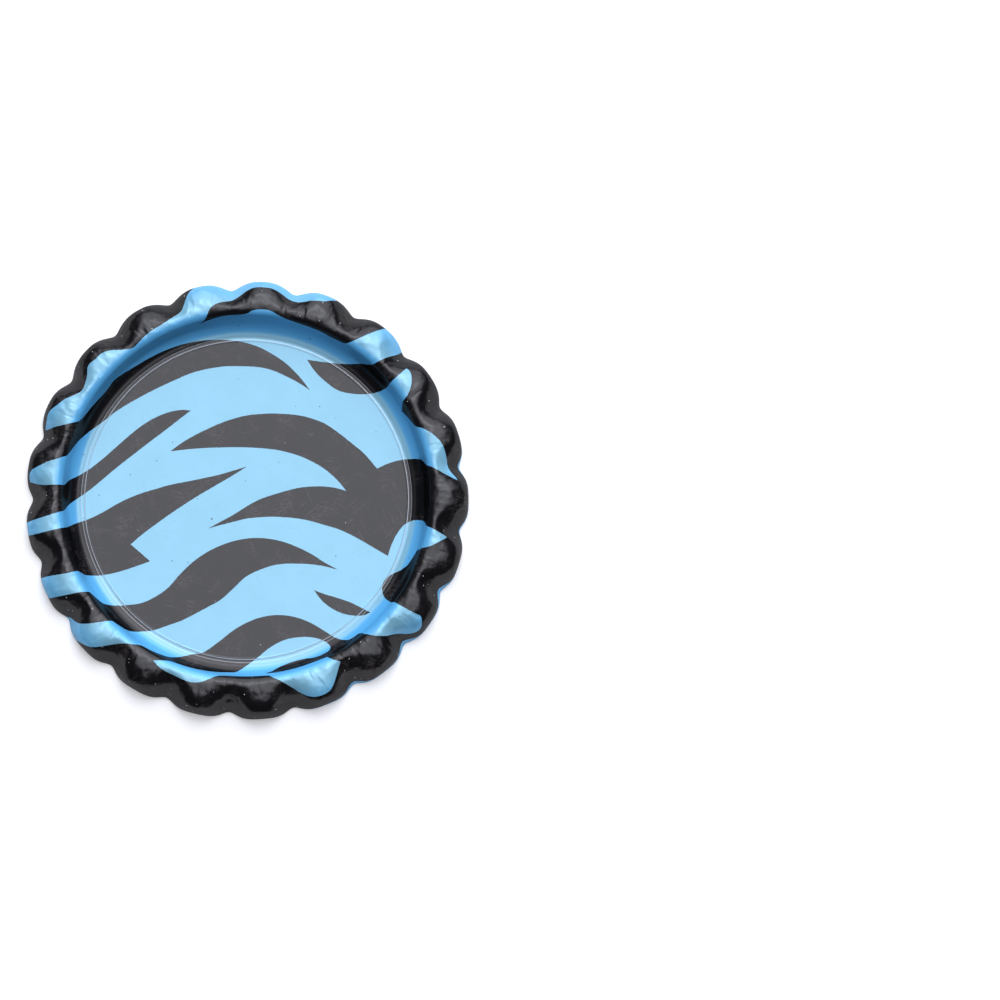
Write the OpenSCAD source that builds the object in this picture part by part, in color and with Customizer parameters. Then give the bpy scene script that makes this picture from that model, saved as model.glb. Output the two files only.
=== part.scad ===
// Flattened bottle cap, stamped from one sheet of printed tinplate.
// It lies inside up: a round floor, a steep wall round it, and a fluted rim
// that rolls outwards and down, until its raw edge is level with the floor.
// Millimetres, +Z up. The origin is the centre of the floor's underside.

/* [Sheet] */
// Thickness of the tinplate
sheet_t = 0.24; // [0.2:0.01:0.3]

/* [Floor] */
// Diameter of the floor, out to where the wall starts
floor_d = 25.4; // [20:0.1:32]
// Width of the coined ring that runs round the floor's edge
ring_w = 0.34; // [0.2:0.02:0.6]
// Depth of the coined ring in each face
ring_depth = 0.03; // [0.01:0.005:0.04]

/* [Wall] */
// Height of the rim above the floor, between the middles of the sheet
rim_rise = 2.15; // [1.8:0.05:3]
// Bend radius between floor and wall, at the middle of the sheet
shoulder_r = 1.17; // [0.8:0.01:1.3]
// Bend radius between wall and rim, at the middle of the sheet
lip_r = 0.3; // [0.2:0.01:0.4]
// Slope of the wall, in degrees from the floor
wall_slope = 75; // [65:1:80]

/* [Flutes] */
// Number of flutes round the rim
flute_count = 21; // [12:1:30]
// Width of the level ledge beside the lip, where no flute has started yet
ledge = 0.2; // [0.1:0.02:0.4]
// Width of the rim at a crest, from the lip to the raw edge
crest_reach = 2.44; // [2:0.02:3.2]
// Width of the rim in a valley, from the lip to the raw edge
valley_reach = 1.92; // [1.4:0.02:2.4]
// How flat a crest's top is, where 2 is an ellipse
crest_top = 2.2; // [1.8:0.1:4]
// How upright a crest's skirt is, where 2 is an ellipse
crest_skirt = 5; // [3:0.5:9]
// How far a valley bulges where it leaves the ledge, where 1 is a straight slope
valley_top = 1.1; // [1:0.05:2]
// How far a valley bulges near the raw edge, where 1 is a straight slope
valley_skirt = 1.35; // [1:0.05:2]
// How broad the crests are on top, where 1 is as broad as the valleys
top_breadth = 1.35; // [1:0.05:2]
// How broad the crests are at the raw edge
edge_breadth = 2.1; // [1:0.05:2.5]

/* [Flattening] */
// How far the flattened rim sits off the floor's centre
off_centre = 0.1; // [0:0.01:0.3]
// The way in which it is off centre, in degrees from +X
off_centre_turn = -50; // [-180:1:180]

/* [Hidden] */

// Facets round the pan, and degrees between points along its bends
$fn = 180;
bend_step = 15;

half_t = sheet_t / 2;
floor_r = floor_d / 2;

// Width of each sloping side of the coined ring
ring_side = 0.06;

// The two bends' centres in the section, and how far the wall runs between them
shoulder_z = half_t + shoulder_r;
wall_rise = rim_rise - (shoulder_r + lip_r) * (1 - cos(wall_slope));
wall_run = wall_rise / tan(wall_slope);
lip_x = floor_r + (shoulder_r + lip_r) * sin(wall_slope) + wall_run;
lip_z = half_t + rim_rise - lip_r;

// The fluted rim starts inside the lip's bend and leaves its end in slightly thinner sheet
root_turn = 12;
root_half_t = half_t - 0.02;

// The pan is turned a little, so that its facets and the rim's don't share an edge
pan_turn = 3.7;

// Places from the ledge's end (0) to the raw edge (90), as angles about the lip
first_angle = 0;
last_angle = 90;
section_angles = [first_angle, 12, 24, 36, 47, 57, 66, 75, 84, last_angle];
// From this one on the crests broaden towards the raw edge
broaden_from = 45;

// Places from a crest (0) to the middle of a valley (1), as shares of half a flute
flute_shares = [0, 0.22, 0.42, 0.62, 0.81, 1];
flute_pitch = 360 / flute_count;

// Step, in degrees, for the slopes of the sheet at a point
slope_step = 0.4;

function mix(a, b, t) = a + (b - a) * t;
function ease(t) = let (c = min(1, max(0, t))) c * c * (3 - 2 * c);
function reversed(list) = [for (i = [len(list) - 1 : -1 : 0]) list[i]];

// Section of the pan, which is the floor, the wall and the lip
function shoulder_arc(r) = [
    for (a = [0 : bend_step : wall_slope]) [floor_r + r * sin(a), shoulder_z - r * cos(a)]
];
function lip_arc(r) = [
    for (a = [wall_slope : -bend_step : 0]) [lip_x - r * sin(a), lip_z + r * cos(a)]
];

// The coined ring is a shallow channel in one face; side is 1 on top and -1 underneath
function coined_ring(z, side) = [
    [floor_r - ring_w, z],
    [floor_r - ring_w + ring_side, z - side * ring_depth],
    [floor_r - ring_side, z - side * ring_depth]
];
function pan_face(z, side) = concat(
    [[0, z]],
    coined_ring(z, side),
    shoulder_arc(shoulder_r - side * half_t),
    lip_arc(lip_r + side * half_t)
);

// How much of a crest there is at a share of half a flute: 1 on a crest, 0 in a valley
function crestness(share, breadth) = 0.5 + 0.5 * cos(180 * pow(share, breadth));
function share_at(turn) = let (
    part = turn / flute_pitch - floor(turn / flute_pitch)
) 2 * min(part, 1 - part);

// The rim's width at a turn round the cap and an angle about the lip
function reach(turn, angle) = let (
    share = share_at(turn),
    lower = ease((angle - broaden_from) / (last_angle - broaden_from)),
    crest = mix(crestness(share, top_breadth), crestness(share, edge_breadth), lower)
) off_centre * cos(turn - off_centre_turn) + mix(valley_reach, crest_reach, crest);

// The rim's section is a quarter of a superellipse, from the ledge to the floor's level
function rim_point(turn, angle) = let (
    crest = crestness(share_at(turn), top_breadth),
    out = 2 * mix(1 / valley_top, 1 / crest_top, crest),
    down = 2 * mix(1 / valley_skirt, 1 / crest_skirt, crest),
    r = lip_x + ledge + (reach(turn, angle) - ledge) * pow(sin(angle), out)
) [r * cos(turn), r * sin(turn), half_t + rim_rise * pow(cos(angle), down)];

// The sheet's upward normal, from its slopes along the section and round the rim
function rim_normal(turn, angle) = let (
    upper = rim_point(turn, max(0, angle - slope_step)),
    lower = rim_point(turn, min(last_angle, angle + slope_step)),
    before = rim_point(turn - slope_step, angle),
    after = rim_point(turn + slope_step, angle),
    n = cross(lower - upper, after - before)
) n / norm(n);

function root_point(turn, half) = let (
    r = lip_x - (lip_r + half) * sin(root_turn)
) [r * cos(turn), r * sin(turn), lip_z + (lip_r + half) * cos(root_turn)];

// All the turns of the rim's points, crest to valley and up to the next crest
rising_shares = [for (i = [len(flute_shares) - 1 : -1 : 1]) 2 - flute_shares[i]];
one_flute = concat([for (i = [0 : len(flute_shares) - 2]) flute_shares[i]], rising_shares);
turns = [for (i = [0 : flute_count - 1], share = one_flute) (i + share / 2) * flute_pitch];

// The rings of points of one face; side is 1 on top and -1 underneath
function rim_face(side) = concat(
    [[for (turn = turns) root_point(turn, side * root_half_t)]],
    [
        for (angle = section_angles) let (half = angle == first_angle ? root_half_t : half_t) [
            for (turn = turns) rim_point(turn, angle) + side * half * rim_normal(turn, angle)
        ]
    ]
);

module pan() {
    rotate([0, 0, pan_turn])
        rotate_extrude() polygon(concat(pan_face(sheet_t, 1), reversed(pan_face(0, -1))));
}

// Rings of the top face and then, back again, of the bottom face, closed into a tube
module fluted_rim() {
    rings = concat(rim_face(1), reversed(rim_face(-1)));
    n = len(turns);
    m = len(rings);
    faces = [
        for (j = [0 : m - 1], i = [0 : n - 1]) let (
            next_ring = ((j + 1) % m) * n,
            ring = j * n,
            next = (i + 1) % n
        ) each [
            [ring + i, ring + next, next_ring + next],
            [ring + i, next_ring + next, next_ring + i]
        ]
    ];
    polyhedron(points = [for (ring = rings, p = ring) p], faces = faces, convexity = 6);
}

module cap() {
    color([0.6, 0.83, 0.96]) union() {
        pan();
        fluted_rim();
    }
}

cap();
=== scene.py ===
"""A flattened bottle cap that lies inside up: one sheet of tinplate with a striped print.

The cap's floor is round and level, a steep wall goes up round it, and a fluted rim rolls
outwards and down until its raw edge is level with the floor. Lengths in the classes are
millimetres, and the finished mesh is in metres.
"""

import logging
import math
from dataclasses import dataclass
from enum import Enum
from typing import Optional, Sequence, Union

import bpy
import numpy as np
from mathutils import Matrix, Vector


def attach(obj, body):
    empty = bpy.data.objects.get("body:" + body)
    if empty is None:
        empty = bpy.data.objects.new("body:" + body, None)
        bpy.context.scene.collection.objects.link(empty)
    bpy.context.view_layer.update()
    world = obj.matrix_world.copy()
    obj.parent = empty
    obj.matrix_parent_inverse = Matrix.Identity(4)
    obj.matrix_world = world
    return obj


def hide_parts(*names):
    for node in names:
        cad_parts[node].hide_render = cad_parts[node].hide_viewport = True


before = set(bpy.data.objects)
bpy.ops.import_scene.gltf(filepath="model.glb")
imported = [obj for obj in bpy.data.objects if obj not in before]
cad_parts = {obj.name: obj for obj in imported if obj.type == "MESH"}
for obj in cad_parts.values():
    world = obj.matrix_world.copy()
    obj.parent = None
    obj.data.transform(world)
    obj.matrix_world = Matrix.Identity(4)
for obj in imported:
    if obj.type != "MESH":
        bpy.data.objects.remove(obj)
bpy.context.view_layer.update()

log = logging.getLogger("cap")

MM = 0.001
# Length of the sheet from the centre to the raw edge, in millimetres
HEM_RUN = 19.322
Point = tuple[float, float]
Run = Sequence[Point]


# The form of the cap


def mix(a: np.ndarray, b: np.ndarray, t: np.ndarray) -> np.ndarray:
    """The value between a and b at a share t."""
    return a + (b - a) * t


def ease(t: np.ndarray) -> np.ndarray:
    """A share from 0 to 1 with soft ends."""
    c = np.clip(t, 0.0, 1.0)
    return c * c * (3.0 - 2.0 * c)


@dataclass(frozen=True)
class FlutedRim:
    """The rim, which rolls from the lip outwards and down to the raw edge.

    Its section is a narrow level ledge and then a quarter of a superellipse. A crest is
    broad on top with an upright skirt, and a valley slopes down almost straight.
    """

    lip_x: float
    rise: float = 2.15
    flutes: int = 21
    ledge: float = 0.2
    crest_reach: float = 2.44
    valley_reach: float = 1.92
    crest_top: float = 2.2
    crest_skirt: float = 5.0
    valley_top: float = 1.25
    valley_skirt: float = 1.4
    top_breadth: float = 1.35
    edge_breadth: float = 2.1
    off_centre: float = 0.1
    off_centre_turn: float = -50.0
    broaden_from: float = 45.0
    section_points: int = 241
    edge_density: float = 2.2

    def share(self, turn: float) -> float:
        """How far a turn is from the nearest crest (0) towards a valley's middle (1)."""
        part = (turn / (360.0 / self.flutes)) % 1.0
        return 2.0 * min(part, 1.0 - part)

    @staticmethod
    def crestness(share: float, breadth: float) -> float:
        """1 on a crest and 0 in a valley, in one wave; a larger breadth widens the crest."""
        return 0.5 + 0.5 * math.cos(math.pi * share**breadth)

    def section(self, turn: float) -> tuple[np.ndarray, np.ndarray]:
        """The rim's section at a turn, in close steps from the lip's top to the raw edge.

        Args:
            turn: Degrees round the cap.

        Returns:
            How far each place is outside the lip's top, and how high above the edge.
        """
        even = np.linspace(0.0, 1.0, self.section_points)
        angle = 90.0 * (1.0 - (1.0 - even) ** self.edge_density)
        crest = self.crestness(self.share(turn), self.top_breadth)
        edge = self.crestness(self.share(turn), self.edge_breadth)
        lower = ease((angle - self.broaden_from) / (90.0 - self.broaden_from))
        pull = self.off_centre * math.cos(math.radians(turn - self.off_centre_turn))
        reach = pull + mix(self.valley_reach, self.crest_reach, mix(crest, edge, lower))
        out = 2.0 * mix(1.0 / self.valley_top, 1.0 / self.crest_top, crest)
        down = 2.0 * mix(1.0 / self.valley_skirt, 1.0 / self.crest_skirt, crest)
        sin, cos = np.sin(np.radians(angle)), np.abs(np.cos(np.radians(angle)))
        x = self.ledge + (reach - self.ledge) * sin**out
        return np.append(0.0, x), np.append(self.rise, self.rise * cos**down)

    def points(self, turn: np.ndarray, part: np.ndarray) -> np.ndarray:
        """Points on the middle of the sheet.

        Args:
            turn: Degrees round the cap.
            part: How much of the rim's run lies between the lip's top and the point.

        Returns:
            One row of x, y and z for each point, above the middle of the floor's sheet.
        """
        out = np.empty((len(turn), 3))
        near = np.round(turn, 3)
        for one in np.unique(near):
            x, z = self.section(float(one))
            length = np.append(0.0, np.cumsum(np.hypot(np.diff(x), np.diff(z))))
            rows = near == one
            run, t = part[rows] * length[-1], np.radians(turn[rows])
            r = self.lip_x + np.interp(run, length, x)
            height = np.interp(run, length, z)
            out[rows] = np.stack([r * np.cos(t), r * np.sin(t), height], axis=-1)
        return out


@dataclass(frozen=True)
class CapSection:
    """The cap's section along the middle of the sheet, from the centre to the lip's top."""

    sheet: float = 0.24
    floor_r: float = 12.7
    ring_width: float = 0.34
    ring_side: float = 0.06
    ring_depth: float = 0.03
    rise: float = 2.15
    shoulder_r: float = 1.17
    lip_r: float = 0.3
    wall_slope: float = 75.0
    rim_run: float = 3.6

    @property
    def wall_length(self) -> float:
        """Length of the straight part of the wall."""
        drop = (self.shoulder_r + self.lip_r) * (1.0 - math.cos(math.radians(self.wall_slope)))
        return (self.rise - drop) / math.sin(math.radians(self.wall_slope))

    @property
    def lip_x(self) -> float:
        """Radius at which the lip's top and its axis are."""
        a = math.radians(self.wall_slope)
        bends = (self.shoulder_r + self.lip_r) * math.sin(a)
        return self.floor_r + bends + self.wall_length * math.cos(a)

    @property
    def lip_run(self) -> float:
        """Length of the sheet from the centre to the lip's top."""
        a = math.radians(self.wall_slope)
        return self.floor_r + (self.shoulder_r + self.lip_r) * a + self.wall_length

    def at(self, run: float) -> Point:
        """Radius and height of the sheet's middle at a length from the centre."""
        a = math.radians(self.wall_slope)
        s = run - self.floor_r
        if s <= 0:
            return (run, 0.0)
        if s < self.shoulder_r * a:
            turn = s / self.shoulder_r
            r = self.floor_r + self.shoulder_r * math.sin(turn)
            return (r, self.shoulder_r * (1.0 - math.cos(turn)))
        s -= self.shoulder_r * a
        if s < self.wall_length:
            r = self.floor_r + self.shoulder_r * math.sin(a) + s * math.cos(a)
            return (r, self.shoulder_r * (1.0 - math.cos(a)) + s * math.sin(a))
        turn = max(0.0, a - (s - self.wall_length) / self.lip_r)
        z = self.rise - self.lip_r * (1.0 - math.cos(turn))
        return (self.lip_x - self.lip_r * math.sin(turn), z)


# The print


@dataclass(frozen=True)
class Outline:
    """A closed outline on the flat sheet: smooth runs of points that meet at corners."""

    name: str
    runs: tuple[Run, ...]
    points_at_once: int = 4000
    carried_on: float = 3.0

    def lines(self, steps: int = 4) -> list[np.ndarray]:
        """The runs as lines of short straight pieces."""
        return [self._smooth(np.array(run, float), steps) for run in self.runs]

    @staticmethod
    def _smooth(p: np.ndarray, steps: int) -> np.ndarray:
        """A centripetal Catmull-Rom curve through the points of one run."""
        if len(p) < 3:
            return p
        q = np.vstack([2 * p[0] - p[1], p, 2 * p[-1] - p[-2]])
        gap = np.sqrt(np.linalg.norm(np.diff(q, axis=0), axis=1))
        parts = []
        for i in range(1, len(q) - 2):
            t0, t1 = 0.0, gap[i - 1]
            t2, t3 = t1 + gap[i], t1 + gap[i] + gap[i + 1]
            t = np.linspace(t1, t2, steps, endpoint=False)[:, None]
            a1 = (t1 - t) / (t1 - t0) * q[i - 1] + (t - t0) / (t1 - t0) * q[i]
            a2 = (t2 - t) / (t2 - t1) * q[i] + (t - t1) / (t2 - t1) * q[i + 1]
            a3 = (t3 - t) / (t3 - t2) * q[i + 1] + (t - t2) / (t3 - t2) * q[i + 2]
            b1 = (t2 - t) / (t2 - t0) * a1 + (t - t0) / (t2 - t0) * a2
            b2 = (t3 - t) / (t3 - t1) * a2 + (t - t1) / (t3 - t1) * a3
            parts.append((t2 - t) / (t2 - t1) * b1 + (t - t1) / (t2 - t1) * b2)
        return np.vstack([*parts, p[-1:]])

    def depth(self, points: np.ndarray) -> np.ndarray:
        """How far each point is inside the outline.

        Args:
            points: Places on the flat sheet, one row each.

        Returns:
            One depth for each point, below zero outside the outline.
        """
        line = np.vstack(self.lines())
        a, b = line, np.roll(line, -1, axis=0)
        keep = np.linalg.norm(b - a, axis=1) > 1e-6
        a, b = a[keep], b[keep]
        out = np.empty(len(points))
        for start in range(0, len(points), self.points_at_once):
            end = start + self.points_at_once
            p = points[start:end, None, :]
            edge, off = (b - a)[None], p - a[None]
            t = np.clip((off * edge).sum(-1) / (edge * edge).sum(-1), 0.0, 1.0)
            near = np.linalg.norm(off - t[..., None] * edge, axis=-1).min(axis=1)
            above = (a[None, :, 1] > p[..., 1]) != (b[None, :, 1] > p[..., 1])
            rise = np.where(edge[..., 1] == 0, 1e-12, edge[..., 1])
            cross = a[None, :, 0] + (p[..., 1] - a[None, :, 1]) / rise * edge[..., 0]
            inside = (above & (p[..., 0] < cross)).sum(axis=1) % 2 == 1
            out[start:end] = np.where(inside, near, -near)
        return out

    def corners(self) -> list["Corner"]:
        """The corners where two runs meet, each with its runs carried straight on past it."""
        lines = self.lines()
        loop = np.vstack(lines)
        ahead = np.roll(loop, -1, axis=0)
        left = float(np.sign((loop[:, 0] * ahead[:, 1] - ahead[:, 0] * loop[:, 1]).sum()))
        found = []
        for i, after in enumerate(lines):
            before = lines[i - 1]
            place = after[0]
            came, goes = place - before[-2], after[1] - place
            came, goes = came / np.linalg.norm(came), goes / np.linalg.norm(goes)
            turn = left * (came[0] * goes[1] - came[1] * goes[0])
            first = np.vstack([before, place + self.carried_on * came])
            second = np.vstack([place - self.carried_on * goes, after])
            found.append(Corner(place, first, second, left, turn))
        return found


@dataclass(frozen=True)
class Corner:
    """A corner of an outline, as the two lines whose sides meet there."""

    place: np.ndarray
    before: np.ndarray
    after: np.ndarray
    left: float
    turn: float

    @property
    def reach(self) -> float:
        """How far from the corner its two lines are still near each other."""
        return min(1.6, max(0.6, 0.35 / max(0.01, abs(self.turn))))

    def depths(self, points: np.ndarray) -> tuple[np.ndarray, np.ndarray]:
        """How far each point is inside each of the two lines."""
        return self._beside(self.before, points), self._beside(self.after, points)

    def _beside(self, line: np.ndarray, points: np.ndarray) -> np.ndarray:
        """Distances from a line, above zero on the outline's inside."""
        start, edge = line[:-1], np.diff(line, axis=0)
        off = points[:, None, :] - start[None]
        t = np.clip((off * edge).sum(-1) / (edge * edge).sum(-1), 0.0, 1.0)
        gap = np.linalg.norm(off - t[..., None] * edge, axis=-1)
        near = gap.argmin(axis=1)
        rows = np.arange(len(points))
        cross = edge[near, 0] * off[rows, near, 1] - edge[near, 1] * off[rows, near, 0]
        return self.left * np.sign(cross) * gap[rows, near]


@dataclass(frozen=True)
class StripePrint:
    """Black stripes on a pale blue field, with a black border round the field."""

    field_outline: Outline
    black: tuple[Outline, ...]
    blue: tuple[Outline, ...]
    far: float = 0.25
    least_turn: float = 0.15
    beyond: float = 0.6

    def edges(self, points: np.ndarray) -> tuple[np.ndarray, np.ndarray, np.ndarray]:
        """Depths in black beside the nearest two edges, which keep the stripes' tips sharp.

        Args:
            points: Places on the flat sheet, one row each.

        Returns:
            Two depths, which differ only near a corner, and 0 where black is where both
            are above zero, or 1 where it is where either is.
        """
        whole = self.black_depth(points)
        first = np.clip(whole, -self.far, self.far)
        second, either = first.copy(), np.zeros(len(points))
        signed = [(self.field_outline, -1.0)]
        signed += [(stripe, 1.0) for stripe in self.black]
        signed += [(leaf, -1.0) for leaf in self.blue]
        tips = []
        for outline, sign in signed:
            for corner in outline.corners():
                away = np.linalg.norm(points - corner.place, axis=1)
                near = away < corner.reach
                if abs(corner.turn) < self.least_turn or not near.any():
                    continue
                if self.is_covered(sign * outline.depth(points[near]), whole[near]):
                    continue
                log.debug("corner of the %s at %s", outline.name, corner.place)
                tips.append((corner, sign, near))
                either[away < corner.reach + self.beyond] = float(corner.turn * sign < 0.0)
        for corner, sign, near in tips:
            a, b = corner.depths(points[near])
            first[near] = np.clip(sign * a, -self.far, self.far)
            second[near] = np.clip(sign * b, -self.far, self.far)
            either[near] = float(corner.turn * sign < 0.0)
        return first, second, either

    @staticmethod
    def is_covered(own: np.ndarray, whole: np.ndarray) -> bool:
        """Whether another outline hides the one whose own depths these are."""
        seen = np.minimum(np.abs(own), np.abs(whole)) < 0.2
        return bool(np.abs(own - whole)[seen].max(initial=0.0) > 0.02)

    def black_depth(self, points: np.ndarray) -> np.ndarray:
        """How far each point of the flat sheet is inside black, and below zero in blue."""
        depth = -self.field_outline.depth(points)
        for stripe in self.black:
            depth = np.maximum(depth, stripe.depth(points))
        for leaf in self.blue:
            depth = np.minimum(depth, -leaf.depth(points))
        return depth


def hem_line(*places: Point) -> Run:
    """A run of points near the raw edge.

    Args:
        places: Each one's degrees round the cap, and how far it is inside the raw edge.

    Returns:
        The places on the flat sheet.
    """
    turns = [(math.radians(turn), HEM_RUN - inset) for turn, inset in places]
    return tuple((r * math.cos(turn), r * math.sin(turn)) for turn, r in turns)


FIELD = Outline("blue field", (
    ((-17.6, 6.1), (-16.76, 6.55), (-16.29, 6.98), (-15.51, 7.53), (-14.99, 8), (-14.33, 8.42),
     (-13.77, 8.86), (-13.52, 9.63), (-13.25, 10.27), (-13.1, 10.86), (-12.45, 11.37), (-11.97, 11.87),
     (-11.22, 12.22), (-10.3, 12.31), (-9.5, 12.5), (-8.79, 13.19), (-7.98, 13.86), (-6.99, 14.48),
     (-6.05, 15.24), (-5.44, 15.72), (-5.14, 16.36), (-4.85, 16.98), (-4.41, 17.49)),
    ((-4.41, 17.49), (-4.75, 18.09), (-5.2, 18.6), (-5.6, 19.4)),
    ((-5.6, 19.4), (0, 21), (6.3, 19.6)),
    ((6.3, 19.6), (6.9, 18), (7.38, 17.18), (7.41, 16.52)),
    ((7.41, 16.52), (9.58, 15.39), (12.5, 16)),
    ((12.5, 16), (14.8, 14.2)),
    ((14.8, 14.2), (13.8, 13.4), (13.36, 10.69)),
    ((13.36, 10.69), (13.57, 10.18), (13.66, 9.55), (13.62, 8.95), (13.4, 8.3), (12.8, 7.6),
     (12.3, 6.95)),
    ((12.3, 6.95), (13, 6.6), (14, 6), (14.97, 5.49), (15.7, 4.87), (16.21, 4.21), (16.52, 3.65),
     (17.02, 2.92), (17.31, 2.08), (17.61, 1.2)),
    ((17.61, 1.2), (16.74, -3.56)),
    ((16.74, -3.56), (16.02, -3.94), (15.18, -4.42), (14.5, -4.5), (13.6, -4.25), (13, -4.7),
     (12.5, -5.2), (12, -5.45)),
    ((12, -5.45), (14.32, -9.97)),
    ((14.32, -9.97), (14.4, -11.1), (13.88, -11.66), (13.2, -11.79), (12.1, -11.87), (10.96, -11.87),
     (10, -11.8)),
    ((10, -11.8), (9.5, -11.25), (8.85, -10.72), (8.45, -10.95), (8, -11.1), (7, -10.8), (6, -10.2),
     (5, -9.6), (4, -9.2), (3, -9), (2, -9), (1, -9.2), (0, -9.6), (-1, -10.2), (-2, -11),
     (-3.3, -11.9), (-4, -12), (-5, -12.3), (-6, -12.6)),
    ((-6, -12.6), (-7.5, -12.9), (-9.3, -12.65), (-10, -12.55), (-12.34, -12.55), (-13.13, -12.31),
     (-13.85, -12.13), (-14.6, -12.4), (-15.6, -13.2)),
    ((-15.6, -13.2), (-18, -10), (-20, -6), (-20, -1), (-18.25, 1.4), (-17.6, 6.1)),
))

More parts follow.
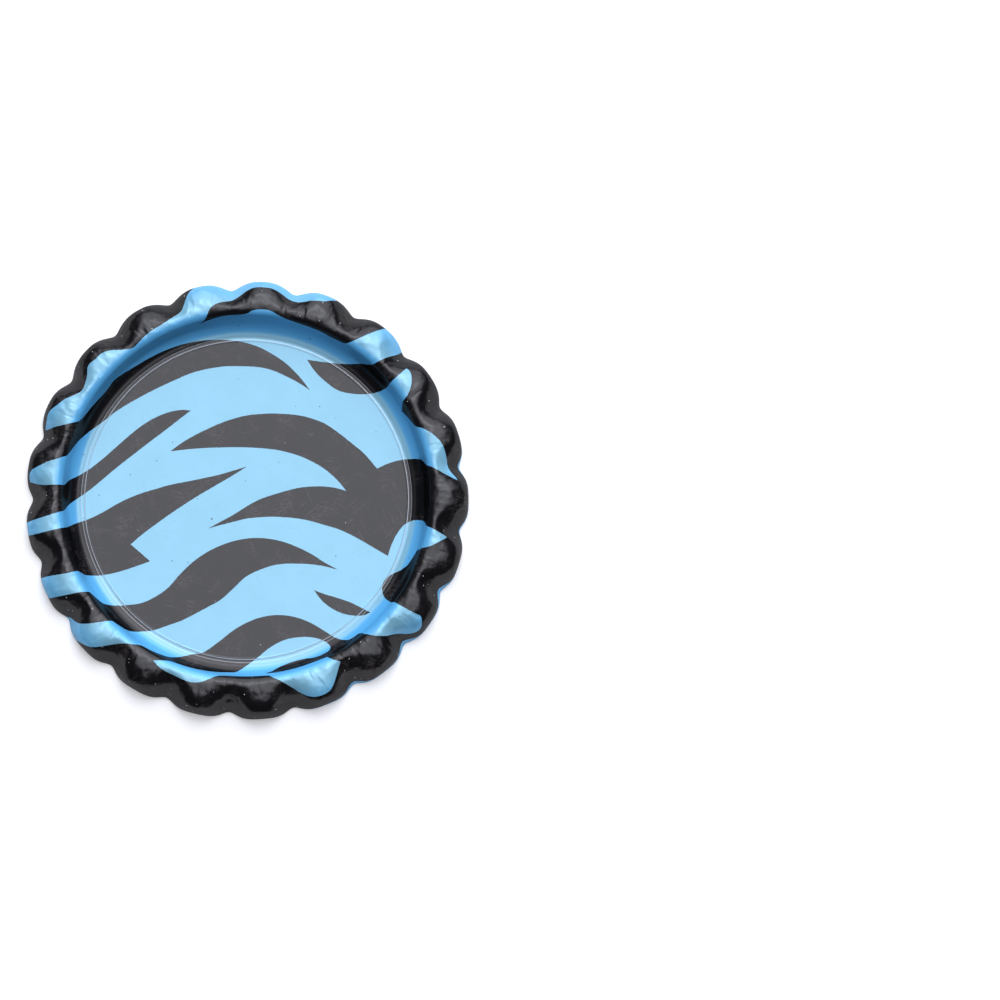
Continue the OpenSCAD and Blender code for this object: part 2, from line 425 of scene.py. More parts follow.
BLACK_STRIPES = (
    Outline("top crescent", (
        ((4.85, 8.5), (4, 9.6), (3, 10.6), (2, 11.3), (1, 11.85), (0, 12.2), (-1, 12.4), (-3, 12.45),
         (-5, 12.15), (-7, 11.4), (-9, 10.3), (-10, 9.8), (-10.6, 9.4), (-11, 8.7), (-11.6, 8.1),
         (-12.5, 7.4), (-13.5, 6.6), (-14.3, 6.2), (-15.17, 5.91), (-16.16, 5.89), (-17.14, 5.97),
         (-17.6, 6.1)),
        ((-17.6, 6.1), (-20, 6), (-20, 1.33), (-18.25, 1.4)),
        ((-18.25, 1.4), (-17.73, 2.04), (-16.99, 2.43), (-16.31, 2.79), (-15.58, 3.1), (-15, 3.4),
         (-14, 4.05), (-13, 4.7), (-12, 5.4), (-11, 6.1), (-10, 6.9), (-8, 8.1), (-6, 9.1), (-4, 9.95),
         (-2, 10.35), (-1, 10.4), (1, 10.3), (2, 10.05), (3, 9.6), (4, 9.07), (4.85, 8.5)),
    )),
    Outline("left blade", (
        ((-4.3, 6.93), (-5, 6.98), (-6, 6.8), (-7, 6.4), (-8, 5.8), (-9, 5), (-10, 4.1), (-11, 3.2),
         (-12, 2.4), (-13, 1.8), (-14, 1.4), (-15, 0.95), (-15.99, 0.85), (-17.14, 0.99), (-18.25, 1.36)),
        ((-18.25, 1.36), (-20, 1.3), (-20, -1.9), (-19.3, -2)),
        ((-19.3, -2), (-18.7, -2.14), (-17.84, -2.16), (-16.99, -1.97), (-15.96, -1.6), (-15, -1.2),
         (-14, -0.6), (-13, 0.05), (-12, 0.75), (-10, 2.45), (-8, 4.05), (-6, 5.6), (-5, 6.4),
         (-4.3, 6.93)),
    )),
    Outline("left wedge", (
        ((0, 2.55), (-1, 2.25), (-2, 1.95), (-4, 1.5), (-6, 1.1), (-7, 0.8), (-8, 0.5), (-9, 0.1),
         (-10, -0.4), (-11, -1), (-12, -1.5), (-13, -1.85), (-14, -2.3), (-15, -2.7), (-15.93, -2.95),
         (-17.36, -3.21), (-19.3, -3.2)),
        ((-19.3, -3.2), (-20, -3.2), (-20, -7.2), (-18.3, -6.95)),
        ((-18.3, -6.95), (-17.19, -6.92), (-16.13, -6.77), (-14.92, -6.62), (-14.2, -6.5), (-13, -6.25),
         (-12, -6), (-11, -5.9), (-10, -5.7), (-9, -5.4), (-8, -5.05), (-7.35, -4.8)),
        ((-7.35, -4.8), (-8.85, -3.5)),
        ((-8.85, -3.5), (-8, -2.75), (-6, -1.25), (-4, 0.1), (-2, 1.3), (-1, 1.9), (0, 2.55)),
    )),
    Outline("long wave", (
        ((7.05, -5.48), (6, -4.9), (5, -4.25), (4, -3.75), (3, -3.35), (2, -3.1), (1, -3), (0, -3.05),
         (-1, -3.25), (-2, -3.6), (-3, -4.1), (-4, -4.8), (-5, -5.75), (-6, -6.9), (-7, -7.6),
         (-8, -8.05), (-9, -8.2), (-10, -8.27), (-12, -8.35), (-13.4, -8.22), (-14.61, -8.31),
         (-15.86, -8.42), (-17.4, -8.7)),
        ((-17.4, -8.7), (-20, -9.2), (-18, -11.4), (-16.17, -10.58)),
        ((-16.17, -10.58), (-14.24, -10.79), (-12.96, -10.77), (-11.59, -10.69), (-10, -10.7),
         (-9, -10.5), (-8, -10.3), (-7, -10.15), (-6, -9.8), (-5, -9.45), (-4, -8.95), (-3, -8.4),
         (-2, -7.85), (-1, -6.95), (0, -6), (1, -5.5), (2, -5.15), (3, -5), (4, -5), (5, -5.05),
         (6, -5.2), (7.05, -5.48)),
    )),
    Outline("right blob", (
        ((12, -5.5), (11.2, -5.8), (10.6, -6.3), (10.4, -6.9), (10.6, -7.6), (11, -8), (12, -8.8),
         (12.96, -9.37), (13.94, -9.83), (14.32, -9.97)),
        ((14.32, -9.97), (17, -10), (17.12, -5.49), (12, -5.5)),
    )),
    Outline("small leaf", (
        ((5.2, -7.05), (6, -7.35), (7, -7.65), (8, -8), (9, -8.5), (9.55, -8.8)),
        ((9.55, -8.8), (9, -9), (8, -9), (7, -8.7), (6, -8.05), (5.6, -7.6), (5.2, -7.05)),
    )),
    Outline("twin stripe", (
        ((-5.85, 3.75), (-5, 4.4), (-4, 5), (-3, 5.5), (-2, 5.95), (-1, 6.3), (0, 6.55), (1, 6.65),
         (2, 6.7), (3, 6.65), (4, 6.55), (5, 6.3), (6, 5.9), (7, 5.22), (8, 4.42), (9, 3.58), (10, 2.4)),
        ((10, 2.4), (11, 2.85), (12, 3.1), (13, 3.15), (14, 3.05), (15, 2.65), (16.02, 2.1),
         (17.1, 1.47), (17.61, 1.2)),
        ((17.61, 1.2), (20, 0), (20, -4), (16.74, -3.56)),
        ((16.74, -3.56), (15.79, -2.99), (15, -2.5), (14.3, -2), (13.5, -1.7), (12.8, -1.65),
         (12.2, -1.9), (11.6, -2.6), (11.1, -3.6), (10.85, -4.4)),
        ((10.85, -4.4), (10, -3.9), (9, -3.3), (8, -2.75), (7, -2.3), (6, -2), (5, -1.7), (4, -1.5),
         (3, -1.4), (2, -1.35), (1, -1.4), (0, -1.5), (-1, -1.75), (-2, -2), (-3, -2.3)),
        ((-3, -2.3), (-2, -1.75), (-1, -1.2), (0, -0.55), (1, 0), (2, 0.35), (3, 0.65), (4, 0.9),
         (5, 1), (6, 1), (7, 0.85), (7.65, 0.65)),
        ((7.65, 0.65), (7, 1.45), (6, 2.35), (5, 2.95), (4, 3.4), (3, 3.7), (2, 3.9), (0, 4.05),
         (-2, 4.05), (-4, 3.95), (-5.85, 3.75)),
    )),
    Outline("upper right leaf", (
        ((4.6, 10.9), (6, 10.7), (7, 10.6), (8, 10.6), (9, 10.75), (10, 11), (11, 11.3), (12.11, 11.96),
         (13.11, 12.68), (13.8, 13.4), (14.4, 14.2)),
        ((14.4, 14.2), (16, 12), (13.36, 10.69)),
        ((13.36, 10.69), (12.77, 10.17), (12, 9.5), (11, 8.8), (10, 8.35), (9, 8.2), (8, 8.25),
         (7, 8.5), (6, 9.2), (5.2, 10), (4.6, 10.9)),
    )),
    Outline("top rim patch", (
        ((-4, 14.4), (-3.4, 15.2), (-2.99, 15.85), (-2.51, 16.17), (-1.54, 16.62), (-0.01, 17.3),
         (1, 17.38), (1.96, 17.33), (3.04, 17.25), (3.88, 17.07), (4.63, 16.51), (5.53, 16.31),
         (6.5, 16.18), (7.41, 16.52)),
        ((7.41, 16.52), (7.38, 17.18), (7, 17.9), (6.3, 19.6)),
        ((6.3, 19.6), (11, 20), (12.2, 16)),
        ((12.2, 16), (11.8, 15.2), (11.72, 14.76), (11.53, 14.16), (11.06, 13.84), (9.96, 13.44),
         (8.7, 13), (8, 13), (7, 13.4), (6, 14), (5, 14.4), (4, 14.8), (3, 15.2), (2, 15.64),
         (1.5, 15.74), (0.5, 15.7), (0, 15.5), (-2, 15.3), (-3, 15), (-4, 14.4)),
    )),
)

BLUE_LEAVES = (
    Outline("hem in the south east", (
        hem_line((-76, -0.1), (-71, 0.1), (-64, 0.3), (-60, 0.45), (-56, 0.3), (-51.4, 0.2),
            (-47, 0.35), (-42.9, 0.6), (-39, 0.35), (-34.3, 0.16), (-30, 0.45), (-25.7, 0.62),
            (-22, 0.3), (-17.1, -0.1)),
        hem_line((-17.1, -0.1), (-12, 0), (-8.6, 0.22), (-4, 0.15), (0, -0.1)),
        hem_line((0, -0.1), (4.5, 0.1), (8.6, 0.42), (12, 0.15), (17.1, -0.1)),
        hem_line((17.1, -1.2), (-30, -1.2), (-76, -1.2)),
    )),
    Outline("bottom leaf", (
        ((-1, -13.9), (0, -13), (1, -12.2), (2, -11.4), (3, -10.9), (4, -10.7), (5, -10.7),
         (5.8, -10.9), (6.3, -11.2), (6.55, -11.7), (6.2, -12.1), (5.5, -12.4), (4.5, -12.45),
         (3.5, -12.7), (2.5, -13.2), (2.1, -13.6)),
        ((2.1, -13.6), (1, -14.2), (-1, -13.9)),
    )),
    Outline("bottom rim patch", (
        ((-7.59, -13.97), (-6.99, -14.56), (-6.04, -15.15), (-4.98, -15.56), (-4.27, -15.72),
         (-3.49, -15.69), (-2.5, -15.4), (-1.8, -15.3), (2, -15.3), (2.2, -15.4), (3, -15.69),
         (4.05, -16.32), (5.02, -16.68), (6.04, -16.53), (6.99, -16.03), (7.51, -15.2), (7.96, -14.07)),
        ((7.96, -14.07), (7, -13.8), (6.7, -13.5), (5, -13.7), (2.5, -14.2), (1, -14), (-1, -13.7),
         (-4, -14.2), (-7.59, -13.97)),
    )),
)


# The cap's mesh


def deselect_all() -> None:
    """Leaves nothing selected and no mode but object mode."""
    if bpy.context.object and bpy.context.object.mode != "OBJECT":
        bpy.ops.object.mode_set(mode="OBJECT")
    bpy.ops.object.select_all(action="DESELECT")


def vertices(mesh: bpy.types.Mesh) -> np.ndarray:
    """The places of a mesh's vertices, one row each."""
    co = np.empty(len(mesh.vertices) * 3)
    mesh.vertices.foreach_get("co", co)
    return co.reshape(-1, 3)


def set_vertices(mesh: bpy.types.Mesh, co: np.ndarray) -> None:
    """Moves a mesh's vertices to new places."""
    mesh.vertices.foreach_set("co", np.ascontiguousarray(co, dtype=np.float32).ravel())
    mesh.update()


def store(mesh: bpy.types.Mesh, name: str, values: np.ndarray) -> None:
    """Keeps one number for each vertex as an attribute that the material reads."""
    made = mesh.attributes.new(name, "FLOAT", "POINT")
    made.data.foreach_set("value", np.ascontiguousarray(values, dtype=np.float32))


@dataclass
class CapShell:
    """The whole cap, spun from its section, fluted, and given the sheet's thickness."""

    section: CapSection
    rim: FlutedRim
    stripes: StripePrint
    columns_per_flute: int = 24
    floor_step: float = 0.235
    wall_step: float = 0.25
    rim_steps: int = 22
    ring_burr: float = 0.012
    crown_r: float = 14.85
    crown_sink: float = 0.035
    body: Optional[bpy.types.Object] = None

    def runs(self) -> list[float]:
        """Lengths from the centre at which the mesh has a ring of vertices."""
        s = self.section
        inner = s.floor_r - s.ring_width
        floor = np.linspace(0.0, inner - 0.14, round(inner / self.floor_step))
        side = s.ring_side
        ring = [inner - side, inner, inner + side, s.floor_r - side, s.floor_r]
        bend = s.shoulder_r * math.radians(s.wall_slope)
        steps = round((bend + s.wall_length) / self.wall_step)
        wall = np.linspace(s.floor_r, s.floor_r + bend + s.wall_length, steps)[1:]
        lip = np.linspace(wall[-1], s.lip_run, 6)[1:]
        rim = np.linspace(0.0, 1.0, self.rim_steps + 1)[1:]
        return [*floor, *ring, *wall, *lip, *(s.lip_run + s.rim_run * rim)]

    def draw_section(self) -> None:
        """Extrudes one vertex along the section, with the rim laid out flat for now."""
        deselect_all()
        bpy.ops.mesh.primitive_plane_add(size=MM, location=(0.0, 0.0, 0.0))
        self.body = bpy.context.object
        self.body.name = "cap_shell"
        bpy.ops.object.mode_set(mode="EDIT")
        bpy.ops.mesh.merge(type="CENTER")
        bpy.ops.mesh.select_all(action="SELECT")
        last = (0.0, 0.0)
        for run in self.runs()[1:]:
            here = self.flat_place(run)
            step = ((here[0] - last[0]) * MM, 0.0, (here[1] - last[1]) * MM)
            bpy.ops.mesh.extrude_region_move(TRANSFORM_OT_translate={"value": step})
            last = here

    def flat_place(self, run: float) -> Point:
        """Radius and height at a length from the centre, before the rim is rolled down."""
        s = self.section
        if run <= s.lip_run + 1e-9:
            return s.at(run)
        return (s.lip_x + run - s.lip_run, s.rise)

    def spin(self) -> None:
        """Spins the section round the cap's axis and closes the seam and the pole."""
        bpy.ops.mesh.select_all(action="SELECT")
        columns = self.columns_per_flute * self.rim.flutes
        bpy.ops.mesh.spin(
            steps=columns, angle=math.tau, center=(0.0, 0.0, 0.0), axis=(0.0, 0.0, 1.0)
        )
        bpy.ops.mesh.select_all(action="SELECT")
        bpy.ops.mesh.remove_doubles(threshold=0.002 * MM)
        bpy.ops.mesh.normals_make_consistent(inside=False)
        bpy.ops.object.mode_set(mode="OBJECT")
        if self.body.data.polygons[0].normal.z < 0:
            bpy.ops.object.mode_set(mode="EDIT")
            bpy.ops.mesh.select_all(action="SELECT")
            bpy.ops.mesh.flip_normals()
            bpy.ops.object.mode_set(mode="OBJECT")

    def roll_rim(self) -> None:
        """Rolls the flat rim down over the flutes and keeps each vertex's print values."""
        s, mesh = self.section, self.body.data
        co = vertices(mesh) / MM
        r, turn = np.hypot(co[:, 0], co[:, 1]), np.degrees(np.arctan2(co[:, 1], co[:, 0]))
        rows = self.runs()
        radii = [self.flat_place(run)[0] for run in rows]
        run = np.interp(r, radii, rows)
        on_rim = run > s.lip_run + 1e-4
        part = np.minimum((run - s.lip_run) / s.rim_run, 1.0)
        co[on_rim] = self.rim.points(turn[on_rim], part[on_rim])
        co[:, 2] -= self.crown_drop(np.hypot(co[:, 0], co[:, 1]), co[:, 2])
        co[:, 2] += s.sheet / 2
        set_vertices(mesh, co * MM)
        flat = np.stack([run * np.cos(np.radians(turn)), run * np.sin(np.radians(turn))], axis=1)
        for name, values in zip(("edge_a", "edge_b", "either"), self.stripes.edges(flat)):
            store(mesh, name, values)
        store(mesh, "run", run)

    def crown_drop(self, r: np.ndarray, z: np.ndarray) -> np.ndarray:
        """How far the lip lies below the crown of the rim, which is a little outside it."""
        inside = np.maximum(0.0, (self.crown_r - r) / (self.crown_r - self.section.lip_x))
        bend = np.where(inside > 1.0, 2.0 * inside - 1.0, inside**2)
        return self.crown_sink * bend * ease((z / self.section.rise - 0.4) / 0.6)

    def thicken(self) -> None:
        """Gives the sheet its thickness, with a bare raw edge, and coins the floor's ring."""
        s, shell = self.section, self.body
        deselect_all()
        shell.select_set(True)
        bpy.context.view_layer.objects.active = shell
        solid = shell.modifiers.new("sheet", "SOLIDIFY")
        solid.thickness = s.sheet * MM
        solid.offset = 0.0
        solid.use_even_offset = True
        solid.use_quality_normals = True
        solid.material_offset_rim = 1
        bpy.ops.object.modifier_apply(modifier=solid.name)
        co = vertices(shell.data) / MM
        r = np.hypot(co[:, 0], co[:, 1])
        inner, outer = s.floor_r - s.ring_width + s.ring_side, s.floor_r - s.ring_side
        coined = (r > inner - 0.01) & (r < outer + 0.01)
        sink = np.where(co[:, 2] > s.sheet / 2, -s.ring_depth, s.ring_depth)
        co[:, 2] += np.where(coined, sink, 0.0)
        burr = (np.abs(r - s.floor_r + s.ring_width) < 0.01) & (co[:, 2] > s.sheet / 2)
        co[:, 2] += np.where(burr, self.ring_burr, 0.0)
        set_vertices(shell.data, co * MM)

    def finish(self, printed: bpy.types.Material, bare: bpy.types.Material) -> bpy.types.Object:
        """Shades the shell and gives it its two materials.

        Args:
            printed: The lacquered print on both faces.
            bare: The cut steel of the raw edge.
        """
        shell = self.body
        shell.data.materials.clear()
        shell.data.materials.append(printed)
        shell.data.materials.append(bare)
        deselect_all()
        shell.select_set(True)
        bpy.context.view_layer.objects.active = shell
        bpy.ops.object.shade_smooth_by_angle(angle=math.radians(40.0))
        return shell

    def build(self, printed: bpy.types.Material, bare: bpy.types.Material) -> bpy.types.Object:
        """Makes the finished cap.

        Args:
            printed: The lacquered print on both faces.
            bare: The cut steel of the raw edge.

        Returns:
            The finished piece, in place.
        """
        self.draw_section()
        self.spin()
        self.roll_rim()
        self.body.data.materials.append(printed)
        self.body.data.materials.append(bare)
        self.thicken()
        return self.finish(printed, bare)


# Materials

Link = Union["Value", float]
# One unit of a pattern to the millimetre, in each direction
EVEN = (1.0, 1.0, 1.0)


class Host(Enum):
    """What a node tree belongs to, with the type of its output node."""

    MATERIAL = "ShaderNodeOutputMaterial"
    WORLD = "ShaderNodeOutputWorld"


class Tree:
    """The node tree of a material or a world, and the one way in which it gets nodes."""

    def __init__(self, name: str, host: Host = Host.MATERIAL) -> None:
        kept = bpy.data.materials if host is Host.MATERIAL else bpy.data.worlds
        self.owner = kept.new(name)
        self.owner.use_nodes = True
        self.host = host
        self.nodes = self.owner.node_tree.nodes
        self.links = self.owner.node_tree.links
        self.nodes.clear()

    def node(
        self,
        kind: str,
        settings: Optional[dict[str, object]] = None,
        sockets: Optional[dict[Union[str, int], object]] = None,
    ) -> bpy.types.Node:
        """Adds one node.

        Args:
            kind: The node's type.
            settings: What is set on the node first; "stops" fills a colour ramp.
            sockets: The value or the link of each named or numbered input.

        Returns:
            The new node.
        """
        made = self.nodes.new(kind)
        for name, value in (settings or {}).items():
            if name == "stops":
                ramp = made.color_ramp
                for place, colour in value[len(ramp.elements) :]:
                    ramp.elements.new(place)
                for element, (place, colour) in zip(ramp.elements, value):
                    element.position, element.color = place, colour
            else:
                setattr(made, name, value)
        for name, value in (sockets or {}).items():
            self.feed(made.inputs[name], value)
        return made

    def feed(self, socket: bpy.types.NodeSocket, value: object) -> None:
        """Links a socket, or sets it to a plain value."""
        if isinstance(value, Value):
            self.links.new(value.socket, socket)
        elif isinstance(value, bpy.types.NodeSocket):
            self.links.new(value, socket)
        else:
            socket.default_value = value

    def attribute(self, name: str) -> "Value":
        """A number that the mesh keeps for each vertex."""
        made = self.node("ShaderNodeAttribute", {"attribute_name": name})
        return Value(self, made.outputs["Fac"])

    def place(
        self, scale: tuple[float, float, float], turn: float = 0.0
    ) -> bpy.types.NodeSocket:
        """Object coordinates in millimetres, turned about the cap's axis and then scaled."""
        where = self.node("ShaderNodeTexCoord").outputs["Object"]
        size = tuple(MM / v for v in scale)
        made = self.node(
            "ShaderNodeMapping",
            {"vector_type": "TEXTURE"},
            {"Vector": where, "Rotation": (0.0, 0.0, math.radians(turn)), "Scale": size},
        )
        return made.outputs["Vector"]

    def noise(
        self, scale: float, detail: float = 2.0, where: Optional[bpy.types.NodeSocket] = None
    ) -> "Value":
        """Soft noise from about 0.3 to 0.7.

        Args:
            scale: Its cells to the millimetre.
            detail: How many finer layers it has.
            where: Coordinates other than millimetres.
        """
        sockets = {"Vector": where or self.place(EVEN), "Scale": scale, "Detail": detail}
        return Value(self, self.node("ShaderNodeTexNoise", {}, sockets).outputs["Fac"])

    def blend(self, share: "Link", a: object, b: object) -> bpy.types.NodeSocket:
        """A colour between a and b."""
        made = self.node(
            "ShaderNodeMix", {"data_type": "RGBA"}, {"Factor": share, 6: a, 7: b}
        )
        return made.outputs[2]

    def ramp(self, value: "Value", low: float, high: float) -> "Value":
        """A soft step from 0 at low to 1 at high."""
        made = self.node(
            "ShaderNodeMapRange",
            {"interpolation_type": "SMOOTHSTEP"},
            {"Value": value, "From Min": low, "From Max": high},
        )
        return Value(self, made.outputs["Result"])

    def ray(self, kind: str) -> "Value":
        """1 for one kind of ray, such as Is Camera Ray, and 0 for the others."""
        return Value(self, self.node("ShaderNodeLightPath").outputs[kind])

    def close(self, shader: bpy.types.Node) -> Union[bpy.types.Material, bpy.types.World]:
        """Feeds the shader to the output, and gives back what the tree belongs to."""
        self.node(self.host.value, {}, {"Surface": shader.outputs[0]})
        return self.owner


class Value:
    """A number in a node tree, on which Python's operators add Math nodes."""

    def __init__(self, tree: Tree, socket: bpy.types.NodeSocket) -> None:
        self.tree = tree
        self.socket = socket

    def _math(self, operation: str, a: Link, b: Link) -> "Value":
        """Adds one Math node."""
        made = self.tree.node("ShaderNodeMath", {"operation": operation}, {0: a, 1: b})
        return Value(self.tree, made.outputs[0])

    def __add__(self, other: Link) -> "Value":
        """self + other."""
        return self._math("ADD", self, other)

    def __radd__(self, other: Link) -> "Value":
        """other + self."""
        return self._math("ADD", other, self)

    def __sub__(self, other: Link) -> "Value":
        """self - other."""
        return self._math("SUBTRACT", self, other)

    def __rsub__(self, other: Link) -> "Value":
        """other - self."""
        return self._math("SUBTRACT", other, self)

    def __mul__(self, other: Link) -> "Value":
        """self * other."""
        return self._math("MULTIPLY", self, other)

    def __rmul__(self, other: Link) -> "Value":
        """other * self."""
        return self._math("MULTIPLY", other, self)

    def at_most(self, other: Link) -> "Value":
        """The smaller of the two."""
        return self._math("MINIMUM", self, other)

    def at_least(self, other: Link) -> "Value":
        """The larger of the two."""
        return self._math("MAXIMUM", self, other)

    def above(self, other: Link) -> "Value":
        """1 where self is the larger, and 0 elsewhere."""
        return self._math("GREATER_THAN", self, other)


Colour = tuple[float, float, float, float]


@dataclass(frozen=True)
class LacqueredPrint:
    """Printed ink under clear lacquer, on both faces of the tinplate.

    Places along the section are lengths from the centre, and heights are millimetres.
    """

    blue: Colour = (0.215, 0.475, 0.62, 1.0)
    # Painted shade: a deeper, more saturated blue for the steep wall and the skirt, standing in for how
    # light falls there
    painted_shade_blue: Colour = (0.12, 0.47, 0.84, 1.0)
    black: Colour = (0.004, 0.004, 0.005, 1.0)
    fleck: Colour = (0.02, 0.03, 0.05, 1.0)
    # Pale specks on the black: dust, with painted glints
    dust_and_glint: Colour = (0.6, 0.6, 0.61, 1.0)
    dull_black: Colour = (0.05, 0.042, 0.042, 1.0)
    scratch_on_black: Colour = (0.3, 0.3, 0.31, 1.0)
    scratch_on_blue: Colour = (0.1, 0.2, 0.32, 1.0)
    # Painted highlight: the pale colour of the lines on the coined ring's edges
    ring_highlight: Colour = (0.8, 0.84, 0.88, 1.0)
    edge_blur: float = 0.015
    edge_ragged: float = 0.03
    metal: float = 0.12
    roughness: float = 0.23
    lacquer_share: float = 0.23
    lacquer_index: float = 2.2
    # Places and strengths of the painted highlight lines on the coined ring
    ring_lines: tuple[Point, Point] = ((12.42, 0.6), (12.67, 0.3))
    ring_line_half: float = 0.06
    # Painted shade: the deeper blue covers the wall up to the rim, and the skirt again
    wall_from: float = 12.9
    rim_from: float = 15.6
    skirt_from: float = 16.4
    dent_height: float = 0.17
    streak_height: float = 0.01
    knock_depth: float = 0.03
    peel_height: float = 0.004
    grain_height: float = 0.0006
    scratch_depth: float = 0.0004

    def hairlines(self, tree: Tree, turn: float, seed: float, per_mm: float) -> Value:
        """Fine straight scratches that run one way, kept to a few patches.

        Args:
            tree: The material's tree.
            turn: The way they run, in degrees.
            seed: A number that sets them apart from other scratches.
            per_mm: How fine they are.

        Returns:
            1 in a scratch and 0 elsewhere.
        """
        fine = tree.noise(1.0 + seed, 0.0, tree.place((per_mm, 0.4, 0.4), turn))
        patch = tree.noise(1.0 + seed, 1.0, tree.place((0.3, 0.3, 0.3), seed * 90.0))
        return tree.ramp(fine, 0.7, 0.74) * tree.ramp(patch, 0.52, 0.62)

    def specks(self, tree: Tree, per_mm: float, size: float, share: float) -> Value:
        """Small round specks, in a share of the cells of an even scatter.

        Args:
            tree: The material's tree.
            per_mm: Cells to the millimetre.
            size: A speck's radius in millimetres.
            share: How many of the cells have a speck.

        Returns:
            1 in a speck and 0 elsewhere.
        """
        made = tree.node(
            "ShaderNodeTexVoronoi",
            {"feature": "F1"},
            {"Vector": tree.place((per_mm, per_mm, per_mm)), "Scale": 1.0},
        )
        near = Value(tree, made.outputs["Distance"])
        tone = tree.node("ShaderNodeSeparateColor", {}, {"Color": made.outputs["Color"]})
        rare = Value(tree, tone.outputs["Red"]).above(1.0 - share)
        return (1.0 - tree.ramp(near, size * per_mm * 0.6, size * per_mm)) * rare

    def draw_marks(self, tree: Tree, run: Value, fineness: float) -> Value:
        """Streaks that run over the rim, as the stretched sheet has them."""
        flat = tree.node(
            "ShaderNodeVectorMath",
            {"operation": "MULTIPLY"},
            {0: tree.place(EVEN), 1: (1.0, 1.0, 0.0)},
        )
        outward = tree.node(
            "ShaderNodeVectorMath", {"operation": "NORMALIZE"}, {0: flat.outputs[0]}
        )
        along = tree.node("ShaderNodeCombineXYZ", {}, {"Z": run * 0.028})
        where = tree.node(
            "ShaderNodeVectorMath",
            {"operation": "ADD"},
            {0: outward.outputs[0], 1: along.outputs[0]},
        )
        return tree.noise(fineness, 1.0, where.outputs[0])

    def ink(self, tree: Tree) -> Value:
        """1 in black and 0 in blue, with a sharp and slightly ragged edge between them."""
        a, b = tree.attribute("edge_a"), tree.attribute("edge_b")
        inner, outer = a.at_most(b), a.at_least(b)
        depth = inner + (outer - inner) * tree.attribute("either")
        ragged = (tree.noise(5.0, 2.0) - 0.5) * self.edge_ragged
        return tree.ramp(depth + ragged, -self.edge_blur, self.edge_blur)

    def colour(self, tree: Tree, ink: Value, lines: Value, run: Value) -> bpy.types.NodeSocket:
        """The print's colours, with flecks, specks and scratches in them, and painted light: painted
        shade as a deeper blue on the wall and skirt, pale dust specks with painted glints on the black,
        and a painted highlight on each edge of the coined ring.
        """
        rim = tree.ramp(run, self.rim_from, self.rim_from + 0.5)
        # Painted shade: a deeper blue on the wall, and for the most part on the skirt
        wall_shade = tree.ramp(run, self.wall_from, self.wall_from + 0.4) * (1.0 - rim)
        tone = tree.ramp(tree.noise(0.35, 3.0), 0.25, 0.75)
        blue = tree.blend(tone, self.blue, tuple(v * 1.05 for v in self.blue[:3]) + (1.0,))
        skirt = tree.ramp(run, self.skirt_from, self.skirt_from + 1.6)
        blue = tree.blend(wall_shade.at_least(skirt * 0.7), blue, self.painted_shade_blue)
        flecks = self.specks(tree, 1.6, 0.06, 0.14).at_least(self.specks(tree, 0.8, 0.09, 0.16))
        blue = tree.blend(flecks * 0.85, blue, self.fleck)
        # Pale specks on the black: dust, with painted glints, and more of them on the rim
        dust_and_glints = self.specks(tree, 1.7, 0.05, 0.1)
        dust_and_glints = dust_and_glints.at_least(self.specks(tree, 2.5, 0.06, 0.13) * rim)
        black = tree.blend(dust_and_glints * 0.8, self.black, self.dust_and_glint)
        black = tree.blend(lines * 0.07, black, self.scratch_on_black)
        black = tree.blend(self.haze(tree), black, self.dull_black)
        blue = tree.blend(lines * 0.08, blue, self.scratch_on_blue)
        # Painted highlight: pale lines on the coined ring's two edges
        return tree.blend(self.painted_ring_highlight(tree, run), tree.blend(ink, blue, black), self.ring_highlight)

    def haze(self, tree: Tree) -> Value:
        """Dull patches where the lacquer is worn by rubbing, which show on the black."""
        patch = tree.ramp(tree.noise(0.5, 3.0), 0.48, 0.7)
        fine = tree.ramp(tree.noise(3.2, 3.0, tree.place((1.0, 2.2, 1.0), 20.0)), 0.4, 0.62)
        return patch * fine * 0.6

    def painted_ring_highlight(self, tree: Tree, run: Value) -> Value:
        """Painted highlights: a pale line on each of the two raised edges of the coined ring."""
        lines = []
        for place, strength in self.ring_lines:
            rising = tree.ramp(run, place - self.ring_line_half, place)
            falling = 1.0 - tree.ramp(run, place, place + self.ring_line_half)
            lines.append(rising * falling * strength)
        return lines[0].at_least(lines[1])

    def relief(self, tree: Tree, lines: Value, run: Value) -> Value:
        """Heights in millimetres: dents and streaks on the rim, and a faint peel all over."""
        rim = tree.ramp(run, self.rim_from - 0.4, self.rim_from + 0.6)
        dents = tree.noise(0.8, 1.6)
        peel = tree.noise(1.6, 2.0)
        grain = tree.noise(12.0, 2.0)
        streaks = self.draw_marks(tree, run, 40.0)
        knocks = tree.ramp(self.draw_marks(tree, run, 21.0), 0.52, 0.74)
        on_rim = dents * self.dent_height + streaks * self.streak_height
        on_rim = (on_rim - knocks * self.knock_depth) * rim
        all_over = peel * self.peel_height + grain * self.grain_height
        return on_rim + all_over - lines * self.scratch_depth

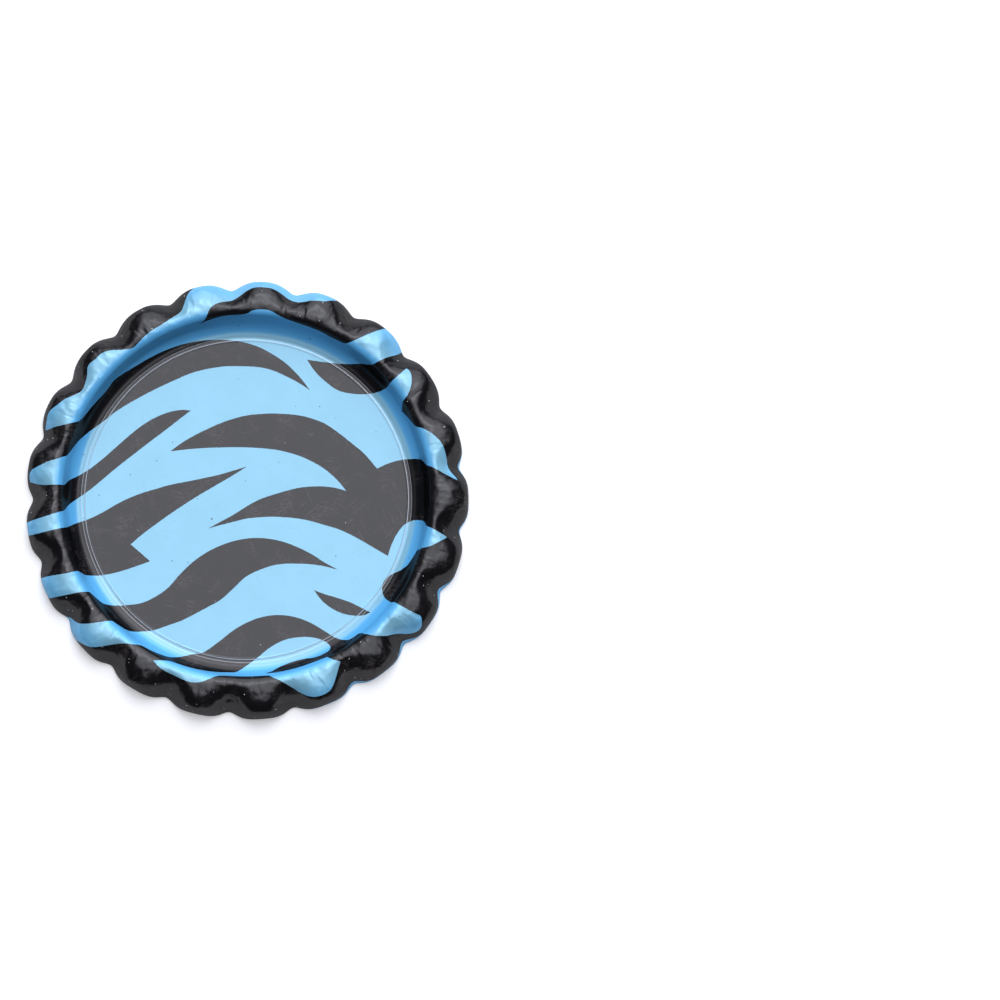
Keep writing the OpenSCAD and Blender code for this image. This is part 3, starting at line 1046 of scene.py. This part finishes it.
    def build(self) -> bpy.types.Material:
        """Makes the material.

        Returns:
            A dull print with a share of glossy lacquer mixed in.
        """
        tree = Tree("lacquered_print")
        run = tree.attribute("run")
        ink = self.ink(tree)
        lines = self.hairlines(tree, 24.0, 0.0, 7.0).at_least(self.hairlines(tree, -50.0, 0.3, 6.0))
        lines = lines.at_least(self.hairlines(tree, 78.0, 0.6, 5.0))
        lines = lines * (1.0 - tree.ramp(run, self.wall_from, self.wall_from + 0.2))
        bump = tree.node(
            "ShaderNodeBump",
            {},
            {"Strength": 1.0, "Distance": MM, "Height": self.relief(tree, lines, run)},
        )
        wear = tree.noise(3.0)
        surface = {
            "Base Color": self.colour(tree, ink, lines, run),
            "Metallic": (1.0 - ink) * self.metal,
            "Roughness": wear * 0.08 + (self.roughness - 0.04),
            "Normal": bump.outputs["Normal"],
        }
        dull = tree.node("ShaderNodeBsdfPrincipled", {}, {**surface, "Specular IOR Level": 0.0})
        glossy = tree.node("ShaderNodeBsdfPrincipled", {}, {**surface, "IOR": self.lacquer_index})
        both = tree.node(
            "ShaderNodeMixShader",
            {},
            {0: self.lacquer_share, 1: dull.outputs[0], 2: glossy.outputs[0]},
        )
        return tree.close(both)


@dataclass(frozen=True)
class CutSteel:
    """The bare cut edge of the tinplate, with fine shear marks across it."""

    colour: Colour = (0.56, 0.55, 0.53, 1.0)
    dark: Colour = (0.28, 0.27, 0.25, 1.0)

    def build(self) -> bpy.types.Material:
        """Makes the material."""
        tree = Tree("cut_steel")
        marks = tree.ramp(tree.noise(1.0, 2.0, tree.place((9.0, 9.0, 1.0))), 0.35, 0.65)
        bump = tree.node(
            "ShaderNodeBump", {}, {"Strength": 0.4, "Distance": 0.01 * MM, "Height": marks}
        )
        shader = tree.node(
            "ShaderNodeBsdfPrincipled",
            {},
            {
                "Base Color": tree.blend(marks, self.dark, self.colour),
                "Metallic": 1.0,
                "Roughness": marks * 0.15 + 0.32,
                "Normal": bump.outputs["Normal"],
            },
        )
        return tree.close(shader)


# The studio


@dataclass(frozen=True)
class Glow:
    """A round soft light, a long way off.

    It stands a number of degrees away from overhead, towards a turn from +X, with full
    strength inside one angle from its middle and none beyond another.
    """

    lean: float
    turn: float
    full_within: float
    none_beyond: float
    level: float

    def strength(self, tree: Tree, toward: bpy.types.NodeSocket) -> Value:
        """Its light in each direction."""
        lean, turn = math.radians(self.lean), math.radians(self.turn)
        axis = (
            math.sin(lean) * math.cos(turn),
            math.sin(lean) * math.sin(turn),
            math.cos(lean),
        )
        dot = tree.node(
            "ShaderNodeVectorMath", {"operation": "DOT_PRODUCT"}, {0: toward, 1: axis}
        )
        none, full = (math.cos(math.radians(a)) for a in (self.none_beyond, self.full_within))
        return tree.ramp(Value(tree, dot.outputs["Value"]), none, full) * self.level


@dataclass
class Studio:
    """A white table, soft lights overhead and to the north, and the photograph's camera."""

    focal_px: float = 7910.0
    frame_px: float = 1000.0
    tilt: float = 9.875
    distance: float = 606.7
    aim_x: float = 19.437
    aim_y: float = -0.007
    light: Colour = (0.97, 0.98, 1.07, 1.0)
    dim_level: float = 0.07
    overhead: Glow = Glow(13.0, 65.0, 6.0, 35.0, 3.0)
    window: Glow = Glow(50.0, 82.0, 12.0, 42.0, 2.8)
    lamp: Glow = Glow(26.0, 90.0, 2.0, 12.0, 1.8)
    table_white: float = 0.8
    table_lift: float = 0.3

    def table_finish(self) -> bpy.types.Material:
        """White paper that shows as pure white but keeps the cap's shadow."""
        tree = Tree("white_table")
        seen = tree.ray("Is Camera Ray").at_least(tree.ray("Is Glossy Ray"))
        seen = seen.at_least(tree.ray("Is Transmission Ray"))
        grain = tree.noise(1.0, 2.0, tree.place((0.02, 0.02, 0.02)))
        white = self.table_white
        paper = tree.blend(grain, (white,) * 3 + (1.0,), (white + 0.02,) * 3 + (1.0,))
        matt = tree.node("ShaderNodeBsdfDiffuse", {}, {"Color": paper})
        lift = tree.node(
            "ShaderNodeEmission",
            {},
            {"Color": (1.0, 1.0, 1.0, 1.0), "Strength": seen * self.table_lift},
        )
        both = tree.node("ShaderNodeAddShader", {}, {0: matt.outputs[0], 1: lift.outputs[0]})
        return tree.close(both)

    def lay_table(self) -> bpy.types.Object:
        """The table under the cap."""
        deselect_all()
        bpy.ops.mesh.primitive_plane_add(size=3.0, location=(0.0, 0.0, -0.00002))
        table = bpy.context.object
        table.name = "table"
        table.data.materials.append(self.table_finish())
        return table

    def set_world(self) -> None:
        """Round lights with soft edges, and white for the camera."""
        tree = Tree("studio", Host.WORLD)
        toward = tree.node("ShaderNodeTexCoord").outputs["Generated"]
        level = self.overhead.strength(tree, toward) + self.dim_level
        for glow in (self.window, self.lamp):
            level = level + glow.strength(tree, toward)
        overhead = tree.node("ShaderNodeBackground", {}, {"Color": self.light, "Strength": level})
        white = tree.node("ShaderNodeBackground", {}, {"Color": (1.0, 1.0, 1.0, 1.0)})
        both = tree.node(
            "ShaderNodeMixShader",
            {},
            {0: tree.ray("Is Camera Ray"), 1: overhead.outputs[0], 2: white.outputs[0]},
        )
        bpy.context.scene.world = tree.close(both)

    def set_camera(self) -> None:
        """The photograph's camera, a long lens a little to the near side of overhead."""
        data = bpy.data.cameras.new("camera")
        data.sensor_width = 36.0
        data.lens = data.sensor_width * self.focal_px / self.frame_px
        data.clip_start, data.clip_end = 0.01, 10.0
        camera = bpy.data.objects.new("camera", data)
        bpy.context.scene.collection.objects.link(camera)
        tilt = math.radians(self.tilt)
        back = Vector((0.0, -math.sin(tilt), math.cos(tilt)))
        camera.location = (Vector((self.aim_x, self.aim_y, 0.0)) + back * self.distance) * MM
        camera.rotation_euler = (tilt, 0.0, 0.0)
        bpy.context.scene.camera = camera

    def build(self) -> None:
        """Sets up all that isn't the cap."""
        bpy.context.scene.view_settings.view_transform = "Standard"
        self.set_world()
        self.lay_table()
        self.set_camera()


def main() -> None:
    """Builds the studio and the cap, in order."""
    logging.basicConfig(level=logging.INFO, format="%(name)s: %(message)s")
    Studio().build()
    log.info("studio ready")
    section = CapSection()
    stripes = StripePrint(FIELD, BLACK_STRIPES, BLUE_LEAVES)
    shell = CapShell(section, FlutedRim(section.lip_x), stripes)
    piece = shell.build(LacqueredPrint().build(), CutSteel().build())
    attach(piece, "root")
    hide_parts("cap")
    log.info("%s has %d vertices", piece.name, len(piece.data.vertices))


if __name__ == "__main__":
    main()
